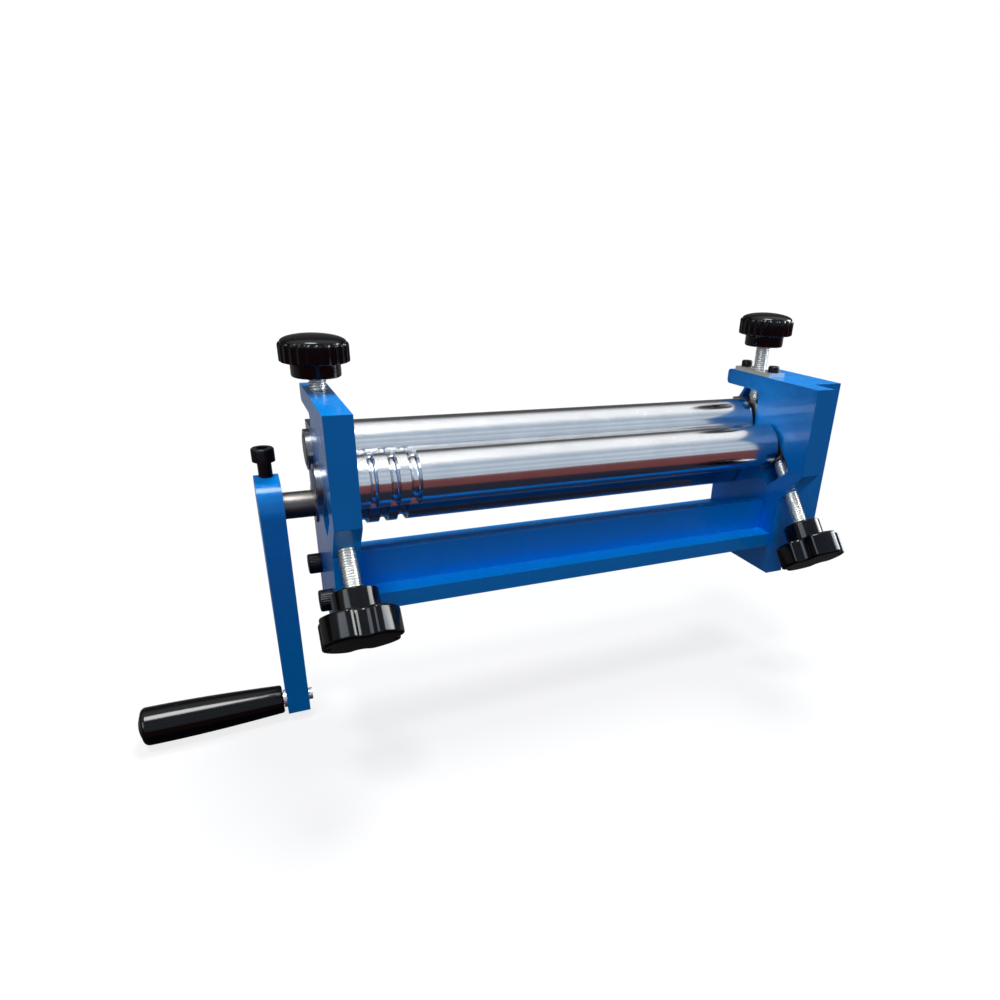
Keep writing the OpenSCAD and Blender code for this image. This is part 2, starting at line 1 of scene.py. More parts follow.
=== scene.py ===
"""Slip roll machine: finishes, modelled details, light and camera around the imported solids."""

import json
import logging
import math
from collections.abc import Callable
from dataclasses import dataclass, field, replace
from enum import Enum

import bpy
from mathutils import Matrix, Vector

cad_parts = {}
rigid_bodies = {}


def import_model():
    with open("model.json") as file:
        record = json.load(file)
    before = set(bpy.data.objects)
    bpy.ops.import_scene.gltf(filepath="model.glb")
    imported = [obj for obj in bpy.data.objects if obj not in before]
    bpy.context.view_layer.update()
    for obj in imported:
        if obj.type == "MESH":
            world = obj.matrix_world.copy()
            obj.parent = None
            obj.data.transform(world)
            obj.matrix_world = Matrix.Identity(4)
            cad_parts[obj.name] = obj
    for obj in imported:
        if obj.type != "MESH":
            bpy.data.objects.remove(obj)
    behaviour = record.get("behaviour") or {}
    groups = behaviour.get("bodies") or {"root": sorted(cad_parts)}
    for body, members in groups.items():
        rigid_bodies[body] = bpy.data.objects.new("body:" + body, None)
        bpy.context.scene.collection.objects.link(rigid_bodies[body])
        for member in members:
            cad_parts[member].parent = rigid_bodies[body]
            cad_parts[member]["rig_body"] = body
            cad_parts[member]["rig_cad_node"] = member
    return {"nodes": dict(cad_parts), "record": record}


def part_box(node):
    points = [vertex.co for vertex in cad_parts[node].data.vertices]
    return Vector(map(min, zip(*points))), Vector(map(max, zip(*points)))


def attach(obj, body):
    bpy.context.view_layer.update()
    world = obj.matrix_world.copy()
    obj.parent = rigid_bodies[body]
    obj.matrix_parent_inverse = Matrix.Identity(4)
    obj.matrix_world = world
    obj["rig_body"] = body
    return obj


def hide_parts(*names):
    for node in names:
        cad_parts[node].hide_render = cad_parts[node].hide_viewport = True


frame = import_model()

log = logging.getLogger("slip_roll")
MM = 0.001
WHITE = "#FFFFFF"
UP = Vector((0, 0, 1))

Node = bpy.types.Node
Socket = bpy.types.NodeSocket
Tree = bpy.types.NodeTree
Bands = tuple[tuple[float, str], ...]
Test = Callable[..., bool]


class Slot(Enum):
    """Finishes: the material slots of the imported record, then one for turned shaft ends."""

    ENAMEL = "blue_enamel"
    ROLLER = "roller_steel"
    BLOCK = "block_steel"
    BUSH = "bush_steel"
    ZINC = "zinc_steel"
    OXIDE = "black_oxide"
    PLASTIC = "black_plastic"
    SHAFT = "turned_shaft"


class Lay(Enum):
    """Direction in which a metal surface was ground or turned."""

    AROUND_X = (1.0, 0.03, 0.03)
    ALONG_Z = (1.0, 1.0, 0.03)
    NONE = (1.0, 1.0, 1.0)


def linear(colour: str) -> tuple[float, float, float, float]:
    """Turn an sRGB hex colour into linear values.

    Args:
        colour: six hex digits with a leading hash.

    Returns:
        Red, green, blue and alpha in linear light.
    """
    raw = [int(colour[i : i + 2], 16) / 255 for i in (1, 3, 5)]
    lin = [c / 12.92 if c <= 0.04045 else ((c + 0.055) / 1.055) ** 2.4 for c in raw]
    return (lin[0], lin[1], lin[2], 1.0)


def add_node(
    tree: Tree, kind: str, settings: dict | None = None, links: dict | None = None
) -> Node:
    """Add a shader node with its settings and incoming links.

    Args:
        tree: the node tree that gets the node.
        kind: Blender's node type.
        settings: attributes, or input sockets by name or number, with their values.
        links: input socket by name or number, with the output socket that feeds it.

    Returns:
        The new node.
    """
    node = tree.nodes.new(kind)
    for key, value in (settings or {}).items():
        if isinstance(key, str) and hasattr(node, key):
            setattr(node, key, value)
        else:
            node.inputs[key].default_value = value
    for key, socket in (links or {}).items():
        tree.links.new(socket, node.inputs[key])
    return node


def new_material(name: str) -> tuple[bpy.types.Material, Tree, Node]:
    """Make an empty node material.

    Args:
        name: name of the material.

    Returns:
        The material, its node tree and its output node.
    """
    material = bpy.data.materials.new(name)
    material.use_nodes = True
    material.node_tree.nodes.clear()
    return material, material.node_tree, add_node(material.node_tree, "ShaderNodeOutputMaterial")


def noise(tree: Tree, where: Socket, scale: float, detail: float) -> Socket:
    """Add a noise texture.

    Args:
        tree: the node tree.
        where: the coordinates.
        scale: grains in a metre.
        detail: octaves.

    Returns:
        The noise value.
    """
    node = add_node(tree, "ShaderNodeTexNoise", {"Scale": scale, "Detail": detail}, {"Vector": where})
    return node.outputs["Fac"]


def blend(tree: Tree, first: str, second: str, by: Socket) -> Socket:
    """Mix two colours by a value.

    Args:
        tree: the node tree.
        first: colour at zero.
        second: colour at one.
        by: the value.

    Returns:
        The mixed colour.
    """
    ends = {"data_type": "RGBA", 6: linear(first), 7: linear(second)}
    return add_node(tree, "ShaderNodeMix", ends, {0: by}).outputs[2]


def shade(
    tree: Tree,
    out: Node,
    settings: dict[str, float],
    tint: Socket,
    rough: tuple[Socket, float, float],
    relief: tuple[Socket, float, float],
) -> None:
    """Add the surface shader of a finish.

    Args:
        tree: the node tree.
        out: its output node.
        settings: fixed inputs of the shader.
        tint: the base colour.
        rough: a value, and the roughness at zero and at one.
        relief: a height, its strength and its depth in metres.
    """
    height, strength, depth = relief
    bump = add_node(tree, "ShaderNodeBump", {"Strength": strength, "Distance": depth}, {"Height": height})
    value, low, high = rough
    rough_map = add_node(tree, "ShaderNodeMapRange", {"To Min": low, "To Max": high}, {"Value": value})
    links = {
        "Base Color": tint,
        "Roughness": rough_map.outputs["Result"],
        "Normal": bump.outputs["Normal"],
    }
    shader = add_node(tree, "ShaderNodeBsdfPrincipled", settings, links)
    tree.links.new(shader.outputs["BSDF"], out.inputs["Surface"])


def seen_directly(tree: Tree, path: Node) -> Socket:
    """Tell rays that come straight from the camera.

    Args:
        tree: the node tree.
        path: its light path node.

    Returns:
        One for a camera or transmission ray, zero for any other.
    """
    rays = {0: path.outputs["Is Camera Ray"], 1: path.outputs["Is Transmission Ray"]}
    return add_node(tree, "ShaderNodeMath", {"operation": "MAXIMUM"}, rays).outputs[0]


def ramp(tree: Tree, bands: Bands, value: Socket) -> Socket:
    """Add a colour ramp.

    Args:
        tree: the node tree.
        bands: position and colour of each stop.
        value: the socket that drives it.

    Returns:
        The colour.
    """
    node = add_node(tree, "ShaderNodeValToRGB", {}, {0: value})
    for at, _ in bands[1:-1]:
        node.color_ramp.elements.new(at)
    for element, (at, colour) in zip(node.color_ramp.elements, bands):
        element.position = at
        element.color = linear(colour)
    return node.outputs["Color"]


@dataclass(frozen=True)
class Enamel:
    """Stoving enamel sprayed on steel: a wet, deep colour with a faint orange peel."""

    name: str = "blue_stoving_enamel"
    colour: str = "#0094F0"
    deep: str = "#008AE6"
    peel_mm: float = 1.6
    cloud_mm: float = 40.0
    roughness: float = 0.22
    spread: float = 0.1
    peel_height: float = 0.05
    peel_depth_m: float = 0.0002

    def material(self) -> bpy.types.Material:
        """Build the enamel.

        Returns:
            The finished material.
        """
        mat, tree, out = new_material(self.name)
        where = add_node(tree, "ShaderNodeTexCoord").outputs["Object"]
        cloud = noise(tree, where, 1000 / self.cloud_mm, 3.0)
        peel = noise(tree, where, 1000 / self.peel_mm, 2.0)
        shade(
            tree,
            out,
            {"Coat Weight": 0.25, "Coat Roughness": 0.04, "IOR": 1.45, "Specular IOR Level": 0.12},
            blend(tree, self.deep, self.colour, cloud),
            (cloud, self.roughness, self.roughness + self.spread),
            (peel, self.peel_height, self.peel_depth_m),
        )
        return mat


@dataclass(frozen=True)
class Steel:
    """Bare or plated steel with the fine lines of its last cut."""

    name: str
    colour: str
    dull: str
    roughness: float
    line_mm: float = 0.35
    lay: Lay = Lay.AROUND_X
    scratch: float = 0.12
    spread: float = 0.08
    metallic: float = 1.0
    scratch_depth_m: float = 0.00005
    cloud_scale: float = 45.0

    def material(self) -> bpy.types.Material:
        """Build the steel.

        Returns:
            The finished material.
        """
        mat, tree, out = new_material(self.name)
        where = add_node(tree, "ShaderNodeTexCoord").outputs["Object"]
        turn = add_node(tree, "ShaderNodeMapping", {"Scale": self.lay.value}, {"Vector": where})
        lines = noise(tree, turn.outputs["Vector"], 1000 / self.line_mm, 3.0)
        cloud = noise(tree, where, self.cloud_scale, 4.0)
        shade(
            tree,
            out,
            {"Metallic": self.metallic},
            blend(tree, self.dull, self.colour, cloud),
            (lines, self.roughness, self.roughness + self.spread),
            (lines, self.scratch, self.scratch_depth_m),
        )
        return mat


@dataclass(frozen=True)
class MouldedPlastic:
    """Glossy black phenolic moulding: near-black with a soft skin and sharp highlights."""

    name: str = "black_phenolic_moulding"
    colour: str = "#060608"
    pale: str = "#0A0A0D"
    skin_mm: float = 2.5
    roughness: float = 0.09
    spread: float = 0.08
    skin_height: float = 0.06
    skin_depth_m: float = 0.0002

    def material(self) -> bpy.types.Material:
        """Build the plastic.

        Returns:
            The finished material.
        """
        mat, tree, out = new_material(self.name)
        where = add_node(tree, "ShaderNodeTexCoord").outputs["Object"]
        skin = noise(tree, where, 1000 / self.skin_mm, 2.0)
        shade(
            tree,
            out,
            {"IOR": 1.42, "Coat Weight": 0.08, "Coat Roughness": 0.04, "Specular IOR Level": 0.22},
            blend(tree, self.colour, self.pale, skin),
            (skin, self.roughness, self.roughness + self.spread),
            (skin, self.skin_height, self.skin_depth_m),
        )
        return mat


class Finishes:
    """All finishes of the machine, built once and handed out by slot."""

    def __init__(self) -> None:
        """Build every finish."""
        self.by_slot: dict[Slot, bpy.types.Material] = {
            Slot.ENAMEL: Enamel().material(),
            # ground and polished: bright, with very fine lines round the roller
            Slot.ROLLER: Steel(
                "ground_roller_steel", "#DADCDF", "#C2C5C9", 0.14, 0.5, Lay.AROUND_X, 0.05, 0.07
            ).material(),
            # turned shaft end between plate and crank: darker and rougher than the ground face
            Slot.SHAFT: Steel(
                "turned_shaft_steel", "#77736E", "#56534F", 0.3, 0.4, Lay.AROUND_X, 0.2, 0.15
            ).material(),
            # milled flat: greyer, with lines along the cut
            Slot.BLOCK: Steel(
                "milled_block_steel", "#A5A8AC", "#84878C", 0.28, 0.5, Lay.ALONG_Z, 0.2, 0.15
            ).material(),
            # turned: dark grey with rings
            Slot.BUSH: Steel(
                "turned_bush_steel", "#8F9297", "#6E7176", 0.25, 0.4, Lay.AROUND_X, 0.15, 0.12
            ).material(),
            # bright zinc plate: pale and faintly warm
            Slot.ZINC: Steel(
                "bright_zinc_plate", "#F4F3EE", "#DEDDD6", 0.3, 1.2, Lay.NONE, 0.08, 0.12, 0.8
            ).material(),
            # black oxide: dark, oily and semi-gloss
            Slot.OXIDE: Steel(
                "black_oxide_steel", "#1B1C20", "#101114", 0.3, 0.8, Lay.NONE, 0.1, 0.15, 0.7
            ).material(),
            Slot.PLASTIC: MouldedPlastic().material(),
        }

    def dress(self, obj: bpy.types.Object, slot: Slot) -> None:
        """Give an object one finish.

        Args:
            obj: the object.
            slot: the finish that it takes.
        """
        obj.data.materials.clear()
        obj.data.materials.append(self.by_slot[slot])


def activate(obj: bpy.types.Object) -> bpy.types.Object:
    """Select one object alone and make it active.

    Args:
        obj: the object.

    Returns:
        The same object.
    """
    bpy.ops.object.select_all(action="DESELECT")
    obj.select_set(True)
    bpy.context.view_layer.objects.active = obj
    return obj


def modify(obj: bpy.types.Object, kind: str, **settings: object) -> None:
    """Add a modifier with its settings and apply it.

    Args:
        obj: the object.
        kind: Blender's modifier type.
        settings: attributes of the modifier.
    """
    activate(obj)
    bpy.ops.object.modifier_add(type=kind)
    modifier = obj.modifiers[-1]
    for key, value in settings.items():
        setattr(modifier, key, value)
    bpy.ops.object.modifier_apply(modifier=modifier.name)


def smooth(obj: bpy.types.Object, degrees: float = 35.0) -> None:
    """Shade a mesh smooth up to an angle.

    Args:
        obj: the object.
        degrees: the largest angle that is still smooth.
    """
    activate(obj)
    bpy.ops.object.shade_smooth_by_angle(angle=math.radians(degrees))


def weigh_normals(obj: bpy.types.Object) -> None:
    """Turn the shading normals towards the larger faces, so that flats look flat.

    Args:
        obj: the object, already shaded smooth.
    """
    modify(obj, "WEIGHTED_NORMAL", keep_sharp=True, weight=80)


def place(obj: bpy.types.Object, matrix: Matrix) -> None:
    """Move a mesh into its place and leave the object at the origin.

    Args:
        obj: the object.
        matrix: the place, from the mesh's own axes to the machine's.
    """
    obj.matrix_world = matrix @ obj.matrix_world
    activate(obj)
    bpy.ops.object.transform_apply(location=True, rotation=True, scale=True)


def join(parts: list[bpy.types.Object], name: str) -> bpy.types.Object:
    """Join meshes into one piece.

    Args:
        parts: the meshes.
        name: name of the piece.

    Returns:
        The joined piece.
    """
    activate(parts[0])
    for part in parts[1:]:
        part.select_set(True)
    bpy.ops.object.join()
    parts[0].name = name
    return parts[0]


def copy_of(obj: bpy.types.Object) -> bpy.types.Object:
    """Copy an object with a mesh of its own.

    Args:
        obj: the object.

    Returns:
        The copy.
    """
    twin = obj.copy()
    twin.data = obj.data.copy()
    bpy.context.scene.collection.objects.link(twin)
    return twin


def axis_matrix(at: Vector, along: Vector, spin: float = 0.0) -> Matrix:
    """Place whose Z axis lies along a direction.

    Args:
        at: the origin of the place, in metres.
        along: the direction.
        spin: turn round the direction, in degrees.

    Returns:
        The matrix of the place.
    """
    turn = along.to_track_quat("Z", "Y").to_matrix().to_4x4()
    return Matrix.Translation(at) @ turn @ Matrix.Rotation(math.radians(spin), 4, "Z")


def centre_of(node: str) -> Vector:
    """Middle of a CAD node's box."""
    low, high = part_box(node)
    return (low + high) / 2


def foot_of(node: str) -> Vector:
    """Middle of the underside of a CAD node's box."""
    centre = centre_of(node)
    return Vector((centre.x, centre.y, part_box(node)[0].z))


def deselect_all(obj: bpy.types.Object, kind: str) -> None:
    """Clear the selection of a mesh and leave it in object mode.

    Args:
        obj: the object.
        kind: what is about to be selected, FACE or VERT.
    """
    activate(obj)
    bpy.ops.object.mode_set(mode="EDIT")
    bpy.ops.mesh.select_mode(type=kind)
    bpy.ops.mesh.select_all(action="DESELECT")
    bpy.ops.object.mode_set(mode="OBJECT")


def select_faces(obj: bpy.types.Object, test: Test) -> None:
    """Select the faces that pass a test and leave the mesh in edit mode.

    Args:
        obj: the object, taken into edit mode here.
        test: takes a face centre and a normal and says whether the face counts.
    """
    deselect_all(obj, "FACE")
    for face in obj.data.polygons:
        face.select = bool(test(face.center, face.normal))
    bpy.ops.object.mode_set(mode="EDIT")


def resize_points(obj: bpy.types.Object, test: Test, factor: float) -> None:
    """Scale the points that pass a test about the Z axis.

    Args:
        obj: the object.
        test: takes a point and says whether it counts.
        factor: the scale across the axis.
    """
    deselect_all(obj, "VERT")
    for vertex in obj.data.vertices:
        vertex.select = bool(test(vertex.co))
    bpy.ops.object.mode_set(mode="EDIT")
    bpy.ops.transform.resize(value=(factor, factor, 1.0), center_override=(0, 0, 0))
    bpy.ops.object.mode_set(mode="OBJECT")


def lathe(name: str, rings: list[tuple[float, float]], sides: int) -> bpy.types.Object:
    """Turn a solid from rings along Z by growing a cylinder end face ring by ring.

    Args:
        name: name of the piece.
        rings: height and radius of each ring in millimetres, from the bottom up.
        sides: number of sides.

    Returns:
        The closed solid, standing on the origin.
    """
    (z0, r0), (z1, r1) = rings[0], rings[1]
    bpy.ops.object.select_all(action="DESELECT")
    bpy.ops.mesh.primitive_cylinder_add(vertices=sides, radius=r0 * MM, depth=(z1 - z0) * MM)
    obj = bpy.context.object
    obj.name = name
    place(obj, Matrix.Translation((0, 0, (z0 + z1) / 2 * MM)))
    resize_points(obj, lambda p: p.z > (z0 + z1) / 2 * MM, r1 / r0)
    for (za, ra), (zb, rb) in zip(rings[1:], rings[2:]):
        select_faces(obj, lambda c, n: n.z > 0.99 and c.z > (za - 0.01) * MM)
        bpy.ops.mesh.extrude_region_move(TRANSFORM_OT_translate={"value": (0, 0, (zb - za) * MM)})
        bpy.ops.transform.resize(value=(rb / ra, rb / ra, 1.0), center_override=(0, 0, 0))
        bpy.ops.object.mode_set(mode="OBJECT")
    return obj


@dataclass
class ThreadedScrew:
    """Adjusting screw with a real helical thread from its tip into its knob."""

    node: str
    body: str
    start: Vector
    along: Vector
    length_mm: float
    radius_mm: float = 5.0
    pitch_mm: float = 1.5
    depth_mm: float = 0.85
    tip_mm: float = 0.9
    end_mm: float = 0.1
    # half height of the ridge, and height of its first turn, as shares of the pitch
    ridge_share: float = 0.46
    first_turn: float = 1.3
    sides: int = 32
    steps: int = 20

    def build(self, finishes: Finishes) -> bpy.types.Object:
        """Model the core and wind the thread round it.

        Args:
            finishes: the finishes of the machine.

        Returns:
            The screw, riding on its body.
        """
        core_r, length = self.radius_mm - self.depth_mm, self.length_mm
        rings = [(0.0, core_r - self.tip_mm), (self.tip_mm, core_r)]
        rings += [(length - self.end_mm, core_r), (length, core_r - self.end_mm)]
        core = lathe(self.node + "_threaded", rings, self.sides)
        turns = int((length - 2 * self.pitch_mm) / self.pitch_mm)
        bpy.ops.object.select_all(action="DESELECT")
        bpy.ops.mesh.primitive_circle_add(
            vertices=4, radius=1.0 * MM, rotation=(math.pi / 2, 0, 0), location=(core_r * MM, 0, 0)
        )
        ridge = bpy.context.object
        place(ridge, Matrix.Identity(4))
        activate(ridge)
        bpy.ops.object.mode_set(mode="EDIT")
        bpy.ops.mesh.select_all(action="SELECT")
        bpy.ops.transform.resize(
            value=(self.depth_mm, 1.0, self.pitch_mm * self.ridge_share),
            center_override=(core_r * MM, 0, 0),
        )
        bpy.ops.transform.translate(value=(0, 0, self.first_turn * self.pitch_mm * MM))
        bpy.ops.object.mode_set(mode="OBJECT")
        modify(
            ridge,
            "SCREW",
            axis="Z",
            angle=2 * math.pi,
            screw_offset=self.pitch_mm * MM,
            iterations=turns - 1,
            steps=self.steps,
            render_steps=self.steps,
            use_smooth_shade=False,
        )
        activate(ridge)
        bpy.ops.object.mode_set(mode="EDIT")
        bpy.ops.mesh.select_all(action="SELECT")
        bpy.ops.mesh.remove_doubles(threshold=1e-6)
        bpy.ops.mesh.fill_holes(sides=4)
        bpy.ops.mesh.select_all(action="SELECT")
        bpy.ops.mesh.normals_make_consistent(inside=False)
        bpy.ops.object.mode_set(mode="OBJECT")
        smooth(core)
        smooth(ridge, 40.0)
        screw = join([core, ridge], self.node + "_threaded")
        place(screw, axis_matrix(self.start, self.along))
        finishes.dress(screw, Slot.ZINC)
        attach(screw, self.body)
        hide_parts(self.node)
        return screw


@dataclass
class FlutedKnob:
    """Round moulded knob with a fluted rim, a low dome and a waisted hub."""

    node: str
    body: str
    foot: Vector
    rim_r_mm: float = 19.25
    hub_r_mm: float = 13.75
    hub_h_mm: float = 8.0
    rim_h_mm: float = 11.0
    dome_h_mm: float = 4.4
    flutes: int = 24
    sides_per_flute: int = 6
    flute_depth: float = 0.055
    # shares of the depth from the middle of a flute outwards, one for each side
    flute_shares: tuple[float, ...] = (1.0, 0.78, 0.2)

    def build(self, finishes: Finishes) -> bpy.types.Object:
        """Turn the knob and press its flutes.

        Args:
            finishes: the finishes of the machine.

        Returns:
            The knob, riding on its body.
        """
        rim, hub, top = self.rim_r_mm, self.hub_r_mm, self.hub_h_mm + self.rim_h_mm
        rings = [(0.0, hub - 0.9), (0.35, hub - 0.3), (1.1, hub), (self.hub_h_mm - 1.2, hub)]
        rings += [(self.hub_h_mm - 0.5, hub + 0.3), (self.hub_h_mm, hub + 1.4)]
        rings += [(self.hub_h_mm + 0.05, rim - 1.5), (self.hub_h_mm + 0.35, rim - 0.5)]
        rings += [(self.hub_h_mm + 1.1, rim)]
        rings += [(top - 1.4, rim), (top - 0.5, rim - 0.35), (top, rim - 1.3)]
        for step in range(1, 10):
            a = step / 9.5 * math.pi / 2
            rings.append((top + self.dome_h_mm * math.sin(a), (rim - 1.3) * math.cos(a)))
        knob = lathe(self.node + "_moulded", rings, self.flutes * self.sides_per_flute)
        low, high = (self.hub_h_mm + 0.2) * MM, (top - 0.2) * MM
        pitch = 2 * math.pi / self.flutes

        def offset(point: Vector) -> int:
            """Number of sides from the nearest flute middle.

            Args:
                point: a point of the knob.

            Returns:
                The number, zero at the middle.
            """
            turn = math.atan2(point.y, point.x) % pitch
            return round(abs(turn - pitch / 2) / (pitch / self.sides_per_flute))

        for count, share in enumerate(self.flute_shares):
            resize_points(
                knob,
                lambda p: low < p.z < high and offset(p) == count and p.xy.length > 0.8 * rim * MM,
                1 - self.flute_depth * share,
            )
        smooth(knob, 40.0)
        weigh_normals(knob)
        place(knob, axis_matrix(self.foot, UP))
        finishes.dress(knob, Slot.PLASTIC)
        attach(knob, self.body)
        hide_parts(self.node)
        return knob


@dataclass
class LobedKnob:
    """Four-lobed moulded knob with rounded edges on a round hub."""

    node: str
    body: str
    foot: Vector
    along: Vector
    spin: float
    hub_r_mm: float = 13.0
    hub_h_mm: float = 13.0
    lobe_r_mm: float = 22.75
    lobe_h_mm: float = 16.5
    lobes: int = 4
    sides: int = 144
    # radius shares from the middle of a valley outwards, one for each side
    valley: tuple[float, ...] = (0.776, 0.779, 0.788, 0.805, 0.832, 0.872, 0.935, 0.978, 0.995)

    def build(self, finishes: Finishes) -> bpy.types.Object:
        """Turn the knob and press its valleys.

        Args:
            finishes: the finishes of the machine.

        Returns:
            The knob, riding on its body.
        """
        hub, full, low = self.hub_r_mm, self.lobe_r_mm, self.hub_h_mm
        high = low + self.lobe_h_mm
        rings = [(0.0, hub - 0.9), (0.3, hub - 0.3), (0.9, hub), (low - 0.5, hub), (low - 0.1, hub + 0.4)]
        rings += [(low, hub + 1.2), (low + 0.05, full - 1.9)]
        rings += [(low + 0.35, full - 0.9), (low + 0.9, full - 0.25), (low + 1.9, full)]
        rings += [(high - 1.9, full), (high - 0.9, full - 0.25)]
        rings += [(high - 0.35, full - 0.9), (high, full - 1.9)]
        knob = lathe(self.node + "_moulded", rings, self.sides)
        pitch, step = 2 * math.pi / self.lobes, 2 * math.pi / self.sides
        for count, share in enumerate(self.valley):
            resize_points(
                knob,
                lambda p: p.xy.length > (hub + 2) * MM
                and round(abs(math.atan2(p.y, p.x) % pitch - pitch / 2) / step) == count,
                share,
            )
        smooth(knob, 40.0)
        weigh_normals(knob)
        place(knob, axis_matrix(self.foot, self.along, self.spin))
        finishes.dress(knob, Slot.PLASTIC)
        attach(knob, self.body)
        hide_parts(self.node)
        return knob


@dataclass
class Grip:
    """Moulded crank grip that swells outwards, with a rounded and slightly domed outer end."""

    node: str = "handle_grip"
    body: str = "grip"
    length_mm: float = 86.0
    outer_r_mm: float = 12.24
    neck_r_mm: float = 9.5
    round_mm: float = 3.5
    dome_mm: float = 2.0
    swell_share: float = 0.9
    sides: int = 64

    def build(self, finishes: Finishes) -> bpy.types.Object:
        """Turn the grip.

        Args:
            finishes: the finishes of the machine.

        Returns:
            The grip, riding on its body.
        """
        low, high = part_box(self.node)
        neck, full, length = self.neck_r_mm, self.outer_r_mm, self.length_mm
        rim = length - self.dome_mm - self.round_mm
        swell = rim * self.swell_share
        rings = [(0.0, neck - 1.4), (0.3, neck - 0.6), (1.2, neck)]
        for i in range(1, 9):
            share = math.sin(i / 8 * math.pi / 2)
            rings.append((1.2 + (swell - 1.2) * i / 8, neck + (full - neck) * share))
        flat = full - self.round_mm
        for i in range(7):
            a = i / 6 * math.pi / 2
            rings.append((rim + self.round_mm * math.sin(a), flat + self.round_mm * math.cos(a)))
        rings += [(length - self.dome_mm * (r / flat) ** 2, r) for r in (flat * 0.8, flat * 0.5, flat * 0.2)]
        grip = lathe(self.node + "_turned", rings, self.sides)
        smooth(grip, 50.0)
        weigh_normals(grip)
        centre = (low + high) / 2
        place(grip, axis_matrix(Vector((high.x, centre.y, centre.z)), Vector((-1, 0, 0))))
        finishes.dress(grip, Slot.PLASTIC)
        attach(grip, self.body)
        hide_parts(self.node)
        return grip


@dataclass
class CapScrew:
    """Socket head cap screw with a knurled head, chamfered at the top, and a hexagon socket."""

    head_r_mm: float
    head_h_mm: float
    shank_r_mm: float
    length_mm: float
    socket_mm: float
    ribs: int = 28
    rib_mm: float = 0.3
    chamfer_mm: float = 0.5

    def mesh(self, name: str) -> bpy.types.Object:
        """Model one screw with its head above the origin and its shank below it.

        Args:
            name: name of the mesh.

        Returns:
            The screw.
        """
        r, h, chamfer = self.head_r_mm, self.head_h_mm, self.chamfer_mm
        rings = [(0.0, r - 0.2), (0.2, r), (h - chamfer - 0.4, r)]
        rings += [(h - chamfer, r - 0.15), (h, r - 0.15 - chamfer)]
        head = lathe(name, rings, self.ribs * 3)
        pitch = 2 * math.pi / self.ribs
        low, high = 0.1 * MM, (h - chamfer - 0.2) * MM
        resize_points(
            head,
            lambda p: low < p.z < high and (math.atan2(p.y, p.x) % pitch) < pitch / 6,
            1 - self.rib_mm / r,
        )
        bpy.ops.object.select_all(action="DESELECT")
        bpy.ops.mesh.primitive_cylinder_add(
            vertices=6, radius=self.socket_mm / math.sqrt(3) * MM, depth=h * MM, location=(0, 0, h * MM)
        )
        cutter = bpy.context.object
        place(cutter, Matrix.Identity(4))
        modify(head, "BOOLEAN", operation="DIFFERENCE", object=cutter, solver="EXACT")
        bpy.data.objects.remove(cutter)
        shank_r, tip = self.shank_r_mm, 0.6
        rings = [(-self.length_mm, shank_r - tip), (-self.length_mm + tip, shank_r), (0.05, shank_r)]
        shank = lathe(name + "_shank", rings, 32)
        screw = join([head, shank], name)
        smooth(screw, 30.0)
        return screw


@dataclass
class ScrewSet:
    """Screws of one size that stand for one CAD node."""

    node: str
    body: str
    size: CapScrew
    places: list[tuple[Vector, Vector, float]]

    def build(self, finishes: Finishes) -> bpy.types.Object:
        """Model one screw, copy it to each place and join the set.

        Args:
            finishes: the finishes of the machine.

        Returns:
            The set, riding on its body.
        """
        first = self.size.mesh(self.node + "_knurled")
        copies = [first] + [copy_of(first) for _ in self.places[1:]]
        for screw, (at, along, spin) in zip(copies, self.places):
            place(screw, axis_matrix(at * MM, along, spin))
        whole = join(copies, self.node + "_knurled")
        finishes.dress(whole, Slot.OXIDE)
        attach(whole, self.body)
        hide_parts(self.node)
        return whole


@dataclass
class SoftEdges:
    """Painted, plated or milled solids with their edges broken, from a merged copy of the CAD mesh."""

    nodes: dict[str, float]
    slot: Slot

    def build(self, finishes: Finishes) -> list[bpy.types.Object]:
        """Break the edges of every node in the set.

        Args:
            finishes: the finishes of the machine.

        Returns:
            The pieces, each riding on its node's body.
        """
        made = []
        for node, width in self.nodes.items():
            source = frame["nodes"][node]
            body = source["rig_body"]
            piece = copy_of(source)
            piece.parent = None
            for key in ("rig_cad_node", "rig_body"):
                if key in piece:
                    del piece[key]
            piece.name = node + "_eased"
            activate(piece)
            bpy.ops.object.mode_set(mode="EDIT")
            bpy.ops.mesh.select_all(action="SELECT")
            bpy.ops.mesh.remove_doubles(threshold=1e-6)
            bpy.ops.mesh.dissolve_limited(angle_limit=math.radians(0.5))
            bpy.ops.object.mode_set(mode="OBJECT")
            if piece.data.has_custom_normals:
                bpy.ops.mesh.customdata_custom_splitnormals_clear()
            modify(
                piece,
                "BEVEL",
                width=width * MM,
                segments=2,
                limit_method="ANGLE",
                angle_limit=math.radians(38),
                use_clamp_overlap=True,
                harden_normals=False,
            )
            smooth(piece, 32.0)
            weigh_normals(piece)
            finishes.dress(piece, self.slot)
            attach(piece, body)
            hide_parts(node)
            made.append(piece)
        return made


